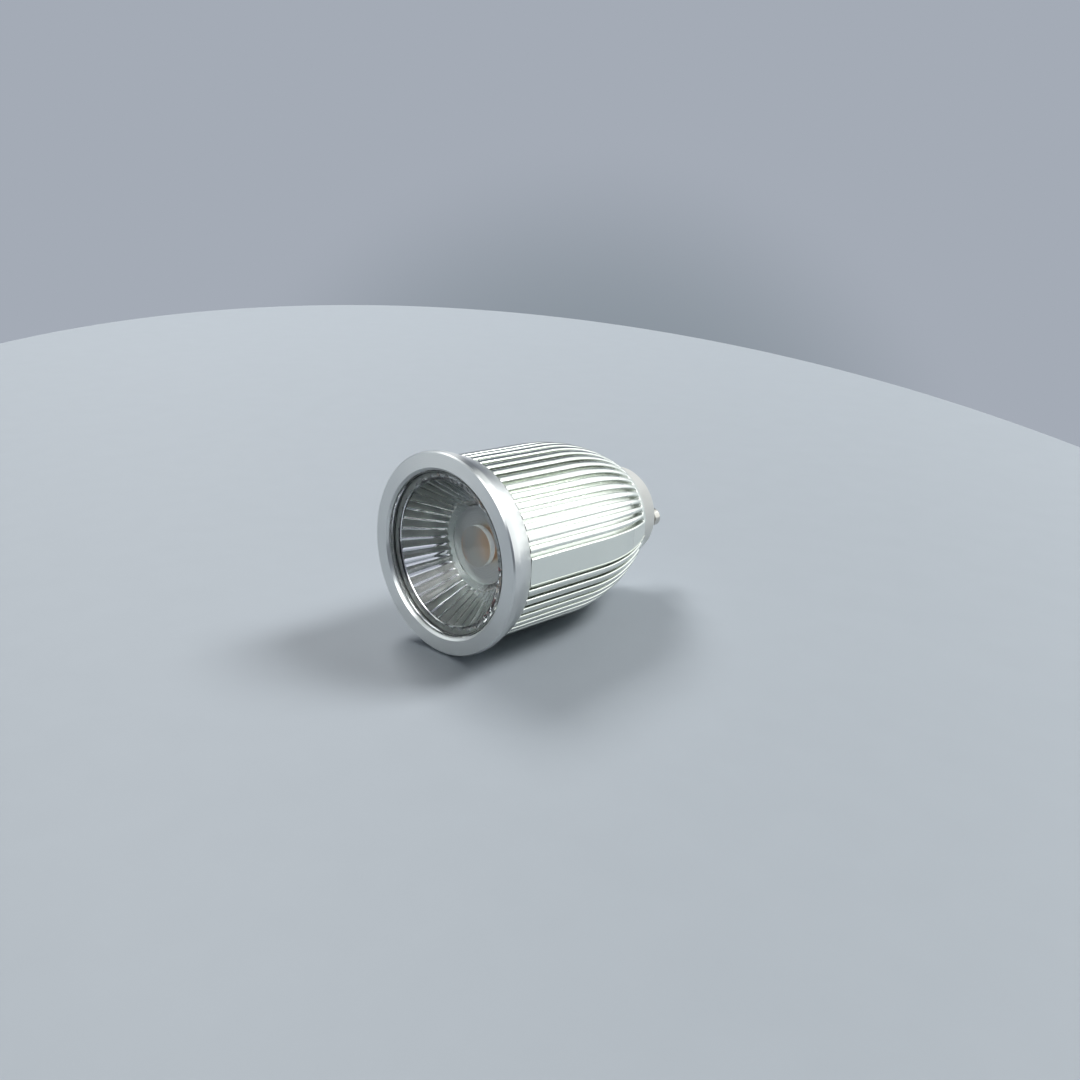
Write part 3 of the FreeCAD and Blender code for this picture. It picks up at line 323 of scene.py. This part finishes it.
def panel_row(along, half, edge):
    """The smooth panel's section, between the two grooves beside it."""
    radius = envelope(along)[0]
    start = -PANEL_ANGLE / 2
    # The floor of the groove lies as deep as beside a fin, so that the two strips join
    floor = FIN_CROWN * edge / PANEL_EDGE
    left = [
        on_body(along, start, offset, depth + (floor if depth == GROOVE_DEPTH else 0))
        for offset, depth in lip(half, edge)]
    reach = min(PANEL_HALF, radius * math.sin(PANEL_ANGLE / 2) - GROOVE_HALF - PANEL_LINE)
    flat = [on_body(along, 0, reach * share, PANEL_DEPTH) for share in (-1, -0.5, 0, 0.5, 1)]
    return left, [on_body(along, 0, -reach, 0)] + flat + [on_body(along, 0, reach, 0)]


def mirrored(points):
    """The other half of a section, from the middle outwards."""
    return [Vector((point.x, point.y, -point.z)) for point in reversed(points)]


def follow_line(edges):
    """The vertices of an open line of edges, in order."""
    count = {}
    for edge in edges:
        for vert in edge.verts:
            count.setdefault(vert, []).append(edge)
    here = next(vert for vert, joined in count.items() if len(joined) == 1)
    line, last = [here], None
    while True:
        onward = [edge for edge in count[here] if edge is not last]
        if not onward:
            return line
        last = onward[0]
        here = last.other_vert(here)
        line.append(here)


def carry_line(mesh, ribs, points):
    """Carries a line of edges on to new points. Returns the new edges, and their vertices in order."""
    made = bmesh.ops.extrude_edge_only(mesh, edges=ribs)["geom"]
    ribs = [item for item in made if isinstance(item, bmesh.types.BMEdge)]
    line = follow_line(ribs)
    if (line[0].co - points[0]).length > (line[-1].co - points[0]).length:
        line.reverse()
    for vert, point in zip(line, points):
        vert.co = point
    return ribs, line


def grooved_strip(row, edge):
    """One repeat of the finned outside, swept from the front along the body and round its shoulder."""
    way = GROOVE_REAR - GROOVE_HALF - SHOULDER
    shoulder = [SHOULDER + way * step / SHOULDER_STEPS for step in range(SHOULDER_STEPS + 1)]
    stations = [(along, GROOVE_HALF, edge) for along in STRAIGHT_PART + shoulder]
    for turn in (math.radians(angle) for angle in GROOVE_END_TURNS):
        close = math.cos(turn)
        stations.append((
            GROOVE_REAR - GROOVE_HALF * (1 - math.sin(turn)), GROOVE_HALF * close, max(edge * close, 0.0)))
    mesh = bmesh.new()
    line = None
    for along, half, lip_edge in stations:
        left, middle = row(along, half, lip_edge)
        points = left + middle + mirrored(left)
        if line is None:
            line = [mesh.verts.new(point) for point in points]
            ribs = [mesh.edges.new(pair) for pair in zip(line, line[1:])]
        else:
            ribs, line = carry_line(mesh, ribs, points)
    # Behind the grooves only the crests go on, over the plain strip in front of the rear face
    crest_start = len(left) - 1
    crest = line[crest_start:len(line) - crest_start]
    ribs = [rib for rib in ribs if all(vert in crest for vert in rib.verts)]
    for along in PLAIN_STRIP:
        left, middle = row(along, 0, 0)
        ribs, line = carry_line(mesh, ribs, [left[-1]] + middle + [mirrored(left)[0]])
    return mesh


def add_turned(mesh, other, angle, count):
    """Adds a strip to the mesh, repeated round the axis from an angle on."""
    strip = bpy.data.meshes.new("strip")
    other.to_mesh(strip)
    other.free()
    for index in range(count):
        before = len(mesh.verts)
        mesh.from_mesh(strip)
        mesh.verts.ensure_lookup_table()
        bmesh.ops.rotate(
            mesh, verts=mesh.verts[before:], cent=(0, 0, 0),
            matrix=Matrix.Rotation(-(angle + PITCH * index), 3, "Y"))
    bpy.data.meshes.remove(strip)


def open_ring(mesh, along):
    """The open edges at one end of the body, which reach a little along the axis on its shoulder."""
    reach = 0.3
    return [
        edge for edge in mesh.edges
        if edge.is_boundary and all(abs(vert.co.y - along) < reach for vert in edge.verts)]


def carry_ring(mesh, edges, steps):
    """Carries a ring of open edges on, each step to a new radius and place along the axis."""
    for radius, along in steps:
        made = bmesh.ops.extrude_edge_only(mesh, edges=edges)["geom"]
        edges = [item for item in made if isinstance(item, bmesh.types.BMEdge)]
        for vert in {vert for edge in edges for vert in edge.verts}:
            scale = radius / math.hypot(vert.co.x, vert.co.z)
            vert.co = (vert.co.x * scale, along, vert.co.z * scale)
    return edges


def finned_shell():
    """The heat sink: grooved outside, spigot in front, seat of the plate, bore, and rear opening."""
    mesh = bmesh.new()
    for half_turn in (0, math.pi):
        first_fin = half_turn + PANEL_ANGLE / 2 + PITCH / 2
        add_turned(mesh, grooved_strip(fin_row, FIN_EDGE), first_fin, GROOVES - 1)
        add_turned(mesh, grooved_strip(panel_row, PANEL_EDGE), half_turn, 1)
    bmesh.ops.remove_doubles(mesh, verts=mesh.verts[:], dist=STRIPS_MERGED)
    front = open_ring(mesh, FIN_FRONT)
    rear = open_ring(mesh, BODY_REAR)
    front = carry_ring(mesh, front, FRONT_STEPS)
    rear = carry_ring(mesh, rear, REAR_STEPS)
    bmesh.ops.bridge_loops(mesh, edges=front + rear)
    bmesh.ops.recalc_face_normals(mesh, faces=mesh.faces[:])
    return mesh


# The lens: a bowl with a domed boss inside, and a ring of bars that stand out of its cone behind.
# A bar's half width is a share of the pitch, its flanks stand at 45 degrees, and its ends rise BAR_END
# times as fast as they run.

BARS = 40
BAR_STEPS = 8
BAR_SHARE = 0.375
BAR_FRONT = -67.4
BAR_REAR = -57.0
BAR_END = 3.0
BAR_END_ROWS = (0, 0.1, 0.2, 0.3, 0.4)
BAR_MIDDLE_ROWS = [-64, -62, -60]
CONE_FRONT = (19.8, -67.5)
CONE_REAR = (11.8, -53.8)

FLANGE = [(21.6, -67.5), (21.6, -68.7)]
BEAD = [(20.4, -68.7), (20.4, -69.5), (20.25, -69.65), (20.0, -69.65), (19.8, -69.45), (19.8, -68.7)]
BOWL_MOUTH = 18
BOWL_FOOT = 10
BOWL_FRONT = -68.7
BOWL_FLOOR = -57.5
BOWL_STEPS = 16
BOWL_RIPPLE = 0.03
FLOOR_RINGS = 29
FLOOR_RING_START = 9.7
FLOOR_RING_GAP = 0.15
FLOOR_RIPPLE = 0.02
BOSS_RADIUS = 5.2
BOSS_EDGE = -59.1
BOSS_CROWN = 0.8
POCKET_RADIUS = 6.5
POCKET_DEPTH = 1.2
POCKET_STEPS = 6


def cone_radius(along):
    """Radius of the lens's outside at a place along the axis."""
    share = (along - CONE_FRONT[1]) / (CONE_REAR[1] - CONE_FRONT[1])
    return CONE_FRONT[0] + (CONE_REAR[0] - CONE_FRONT[0]) * share


def bar_drop(angle, along):
    """How far the outside lies under the cone: 0 on a bar's ridge, more down its flanks and ends."""
    pitch = 2 * math.pi / BARS * cone_radius(along)
    half = BAR_SHARE * pitch
    across = abs((angle / (2 * math.pi / BARS)) % 1 - 0.5) * pitch
    to_end = min(along - BAR_FRONT, BAR_REAR - along)
    return min(half, max(across, half - BAR_END * to_end))


def dome(radius, along, rise, steps):
    """A shallow crown from its rim to the axis."""
    ball = (radius**2 + rise**2) / (2 * rise)
    line = [radius * (1 - step / steps) for step in range(1, steps + 1)]
    return [(out, along - math.sqrt(ball**2 - out**2) + ball - rise) for out in line]


def prism_lens():
    """The clear lens: flange, bowl with faint rings on its floor, domed boss, and bars on its cone."""
    rows = [BAR_FRONT + step for step in BAR_END_ROWS] + BAR_MIDDLE_ROWS
    rows += [BAR_REAR - step for step in reversed(BAR_END_ROWS)]
    cone = [(cone_radius(along), along) for along in reversed(rows)]
    pocket = [
        (POCKET_RADIUS * step / POCKET_STEPS, CONE_REAR[1] - POCKET_DEPTH * (1 - (step / POCKET_STEPS)**2))
        for step in range(POCKET_STEPS + 1)]
    bowl = [
        (BOWL_MOUTH + (BOWL_FOOT - BOWL_MOUTH) * step / BOWL_STEPS,
         BOWL_FRONT + (BOWL_FLOOR - BOWL_FRONT) * step / BOWL_STEPS + BOWL_RIPPLE * (step % 2))
        for step in range(BOWL_STEPS + 1)]
    rings = [
        (FLOOR_RING_START - FLOOR_RING_GAP * step, BOWL_FLOOR + FLOOR_RIPPLE * math.cos(step * math.pi / 2))
        for step in range(FLOOR_RINGS)]
    boss = [(BOSS_RADIUS, BOWL_FLOOR), (BOSS_RADIUS, BOSS_EDGE)] + dome(BOSS_RADIUS, BOSS_EDGE, BOSS_CROWN, 8)
    behind = pocket + [CONE_REAR] + cone + [CONE_FRONT]
    mesh = turned(behind + FLANGE + BEAD + bowl + rings + boss, BARS * BAR_STEPS)
    for vert in mesh.verts:
        radius = math.hypot(vert.co.x, vert.co.z)
        beside_bars = BAR_FRONT - AT_PLACE < vert.co.y < BAR_REAR + AT_PLACE
        if beside_bars and abs(radius - cone_radius(vert.co.y)) < AT_PLACE:
            drop = bar_drop(math.atan2(vert.co.z, vert.co.x), vert.co.y)
            vert.co.x *= 1 - drop / radius
            vert.co.z *= 1 - drop / radius
    bmesh.ops.recalc_face_normals(mesh, faces=mesh.faces[:])
    return mesh


# Pieces: the front ring and the white base are given as radius and place along the axis

RING_SECTION = (
    (20.5, -70.4), (25.0, -70.4), (25.0, -68.4), (23.3, -63.3), (21.95, -63.3), (21.95, -68.7), (20.5, -68.7))
RING_STEPS = 256
BASE_SECTION = (
    (0, 0), (8.0, 0), (8.0, -3.3), (12.6, -3.3), (12.6, -12.0), (8.67, -12.0), (8.67, -16.0), (7.67, -16.0),
    (7.67, -4.9), (6.8, -4.9), (6.8, -1.6), (0, -1.6))
BASE_STEPS = 160

add_piece("heat_sink_shell", finned_shell(), finned_aluminium(), ["heat_sink"], sharp=40)

ring = turned(RING_SECTION, RING_STEPS, closed=True)
for rim, width, segments in (
        ((25.0, -70.4), 0.35, 1),
        ((20.5, -70.4), 0.6, 1),
        ((25.0, -68.4), 0.3, 2),
        ((23.3, -63.3), 0.15, 2)):
    round_rims(ring, [rim], width, segments)
add_piece("turned_ring", ring, turned_aluminium(), ["front_ring"], sharp=25)

base = turned(BASE_SECTION, BASE_STEPS)
round_rims(base, [(8.0, 0), (12.6, -3.3)], 0.8, 4)
add_piece("white_base", base, white_plastic(), ["base_cap"])

add_piece("prism_lens", prism_lens(), clear_acrylic(), ["lens"], sharp=30)

for name, material in (
        # Aluminium plate milled flat: grey, with an even dull gloss
        ("led_plate", mottled("milled_aluminium", "#C9CCCD", "#B7BBBD", 1.0, 0.35, 0.8)),
        # Filled silicone sheet: grey and fully matte
        ("thermal_pad", mottled("silicone_pad", "#B5B5B8", "#A5A6AA", 0.0, 0.7, 0.5)),
        # Fired alumina: a warm white with a faint sheen
        ("led_base", mottled("alumina_ceramic", "#E9E8E2", "#DEDDD6", 0.0, 0.5, 0.6)),
        # Silicone laid as a bead: cream white and satin
        ("led_dam", mottled("silicone_dam", "#E5E2D8", "#D9D5C8", 0.0, 0.45, 0.5)),
        # Phosphor powder in clear silicone: amber with a smooth skin
        ("phosphor", mottled("phosphor_silicone", "#D29A55", "#C48C48", 0.0, 0.3, 0.3)),
        # Moulded nylon: pale grey and satin
        ("led_holder", mottled("moulded_nylon", "#DADBDA", "#CFD0CF", 0.0, 0.5, 0.5)),
        # Zinc plated steel: cool grey and fairly bright
        ("holder_screws", mottled("zinc_plated_steel", "#B9BCBD", "#A9ACAE", 1.0, 0.3, 0.4)),
        ("plate_screws", mottled("zinc_plated_steel_large", "#B9BCBD", "#A9ACAE", 1.0, 0.3, 0.4)),
        ("driver_housing", white_plastic("housing_plastic", "#E6E7E2")),
        ("contact_pin_right", plated_brass()),
        ("contact_pin_left", plated_brass()),
        # Glass laminate under green lacquer: dark green and glossy
        ("driver_board", mottled("lacquered_laminate", "#1F5A33", "#184C2A", 0.0, 0.35, 0.7)),
        # Sintered ferrite: near black and matte
        ("transformer_core", mottled("ferrite", "#2B2B2E", "#232326", 0.0, 0.7, 0.3)),
        # Polyester tape over the winding: yellow and smooth
        ("transformer_coil", mottled("polyester_tape", "#D9B53A", "#CBA52E", 0.0, 0.35, 1.0)),
        # Shrunk plastic film over a can: black and glossy
        ("input_capacitor", mottled("shrink_sleeve", "#1C1C22", "#15151A", 0.0, 0.35, 1.0)),
        ("output_capacitor", mottled("shrink_sleeve_small", "#1C1C22", "#15151A", 0.0, 0.35, 1.0)),
        # Ferrite in a thin sleeve: near black and dull
        ("filter_inductor", mottled("sleeved_ferrite", "#2A2A2C", "#202022", 0.0, 0.6, 0.5)),
        # Moulded epoxy: black, with the dull grain of its mould
        ("bridge_rectifier", mottled("moulded_epoxy", "#17181A", "#111213", 0.0, 0.55, 0.3)),
        ("driver_chip", mottled("moulded_epoxy_small", "#17181A", "#111213", 0.0, 0.55, 0.3)),
        # Dipped lacquer on ceramic: blue grey and satin
        ("fuse_resistor", mottled("resistor_lacquer", "#7D929B", "#6D838C", 0.0, 0.5, 0.3)),
        # Extruded soft vinyl on the leads: an even colour with a waxy sheen
        ("led_lead_red", mottled("red_pvc", "#B3221E", "#A51B17", 0.0, 0.4, 0.5)),
        ("led_lead_black", mottled("black_pvc", "#1B1B1C", "#131314", 0.0, 0.4, 0.5)),
        ("mains_lead_right", mottled("white_pvc", "#E3E3E1", "#D8D8D6", 0.0, 0.4, 0.5)),
        ("mains_lead_left", mottled("white_pvc_left", "#E3E3E1", "#D8D8D6", 0.0, 0.4, 0.5))):
    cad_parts[name].data.materials.clear()
    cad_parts[name].data.materials.append(material)


# Stage: an oval table top that the lamp lies on, in front of a grey backdrop. In metres.

TABLE_HALVES = (0.484, 0.286, 1)
TABLE_TURN = 2.654
TABLE_MIDDLE = (-0.204, 0.148, 0)
# The lamp rests on its ring and its fins, so the table leans against its axis under the ring's edge
TABLE_LEAN = math.radians(3.24)
RING_REST = (0, -0.0684, -0.02505)

table = bmesh.new()
bmesh.ops.create_circle(table, cap_ends=True, segments=192, radius=1.0)
bmesh.ops.scale(table, verts=table.verts[:], vec=TABLE_HALVES)
bmesh.ops.rotate(table, verts=table.verts[:], cent=(0, 0, 0), matrix=Matrix.Rotation(TABLE_TURN, 3, "Z"))
bmesh.ops.translate(table, verts=table.verts[:], vec=TABLE_MIDDLE)
bmesh.ops.rotate(table, verts=table.verts[:], cent=(0, 0, 0), matrix=Matrix.Rotation(TABLE_LEAN, 3, "X"))
bmesh.ops.translate(table, verts=table.verts[:], vec=RING_REST)
floor_data = bpy.data.meshes.new("floor")
table.to_mesh(floor_data)
table.free()
floor = bpy.data.objects.new("floor", floor_data)
bpy.context.scene.collection.objects.link(floor)
# Uncoated paper: pale grey and fully matte, with cloudy tones about 12 mm across
floor_data.materials.append(mottled("pale_paper", "#BCC4CB", "#B8C0C7", 0.0, 0.6, 12.0, height=0.0))

# The camera stands where the outlines of the lamp fall on those of the photograph
SENSOR = 36
FOCAL_SHARE = 1040 / 1080
CAMERA_PLACE = Vector((178.59, -226.68, 77.13)) * MM
CAMERA_RIGHT = Vector((0.71994797, 0.69265969, 0.04355986))
CAMERA_UP = Vector((-0.23288355, 0.18197992, 0.95532642))

camera_data = bpy.data.cameras.new("camera")
camera_data.sensor_width = SENSOR
camera_data.lens = SENSOR * FOCAL_SHARE
camera_data.clip_start = 0.01
camera = bpy.data.objects.new("camera", camera_data)
bpy.context.scene.collection.objects.link(camera)
camera.matrix_world = Matrix.Translation(CAMERA_PLACE) @ Matrix(
    (CAMERA_RIGHT, CAMERA_UP, CAMERA_RIGHT.cross(CAMERA_UP))).transposed().to_4x4()
bpy.context.scene.camera = camera

# The room: each soft round patch has its direction, the angles in degrees where it begins to fade and
# where it ends, and its light
BACKDROP = "#A4ABB6"
MATTE_LIGHT = "#5A5E62"
PATCHES = (
    # Dim ceiling
    ((0.0, 0.0, 1.0), 20, 60, (0.2, 0.22, 0.25, 1)),
    # Dim foot of the backdrop
    ((-0.62, 0.72, -0.30), 6, 22, (0.24, 0.28, 0.32, 1)),
    # Dark gap over the backdrop, which the topmost fins mirror
    ((-0.48, 0.70, 0.52), 12, 20, (0.1, 0.12, 0.15, 1)),
    # Bright wall on the left, which the ring's face mirrors
    ((-0.70, -0.58, 0.42), 15, 42, (1.1, 1.16, 1.18, 1)),
    # Two windows behind the lamp, which the fins mirror
    ((0.36, 0.89, 0.27), 20, 40, (1.7, 1.75, 1.75, 1)),
    ((0.05, 0.72, 0.68), 12, 26, (1.2, 1.25, 1.25, 1)),
    # Pale board on the right, which the bars of the lens send back as white strips
    ((0.89, -0.28, 0.35), 9, 14, (0.62, 0.66, 0.74, 1)),
    # Light panel over the camera, which the ring's side mirrors
    ((0.25, -0.62, 0.72), 12, 28, (4.0, 4.05, 4.05, 1)),
    # Dim side of the room by the camera
    ((0.70, -0.70, -0.10), 4, 34, (0.12, 0.13, 0.15, 1)))

world = bpy.data.worlds.new("studio")
bpy.context.scene.world = world
world.use_nodes = True
tree = world.node_tree
direction = tree.nodes.new("ShaderNodeTexCoord").outputs["Generated"]
room = colour(BACKDROP)
for toward, inner, outer, light in PATCHES:
    nearness = add_node(
        tree, "ShaderNodeVectorMath", {0: direction, 1: Vector(toward).normalized()}, operation="DOT_PRODUCT")
    patch = add_node(
        tree, "ShaderNodeMapRange",
        {"Value": nearness, "From Min": math.cos(math.radians(outer)),
         "From Max": math.cos(math.radians(inner))},
        interpolation_type="SMOOTHSTEP")
    room = add_node(tree, "ShaderNodeMix", {"Factor": patch, "A": room, "B": light}, data_type="RGBA")
# What is seen, mirrored or looked through is the room; matte surfaces get a lower, even part of its light
ray = tree.nodes.new("ShaderNodeLightPath").outputs
clear_ray = ray["Is Camera Ray"]
for other_ray in (ray["Is Glossy Ray"], ray["Is Transmission Ray"]):
    clear_ray = add_node(tree, "ShaderNodeMath", {0: clear_ray, 1: other_ray}, operation="MAXIMUM")
add_node(
    tree, "ShaderNodeMix", {"Factor": clear_ray, "A": colour(MATTE_LIGHT), "B": room},
    tree.nodes["Background"].inputs["Color"], data_type="RGBA")

# Two square soft lamps, with their place and side in metres and their power in watts
LAMPS_AIM = Vector((0, -0.03, 0))
for name, place, side, power in (
        ("left_lamp", (-1.6, 0.4, 2.0), 0.9, 33.0),
        ("right_lamp", (0.9, 1.3, 2.0), 0.9, 38.0)):
    data = bpy.data.lights.new(name, "AREA")
    data.shape = "SQUARE"
    data.size = side
    data.energy = power
    lamp = bpy.data.objects.new(name, data)
    bpy.context.scene.collection.objects.link(lamp)
    lamp.location = place
    lamp.rotation_euler = (LAMPS_AIM - Vector(place)).to_track_quat("-Z", "Y").to_euler()

bpy.context.scene.view_settings.view_transform = "Standard"
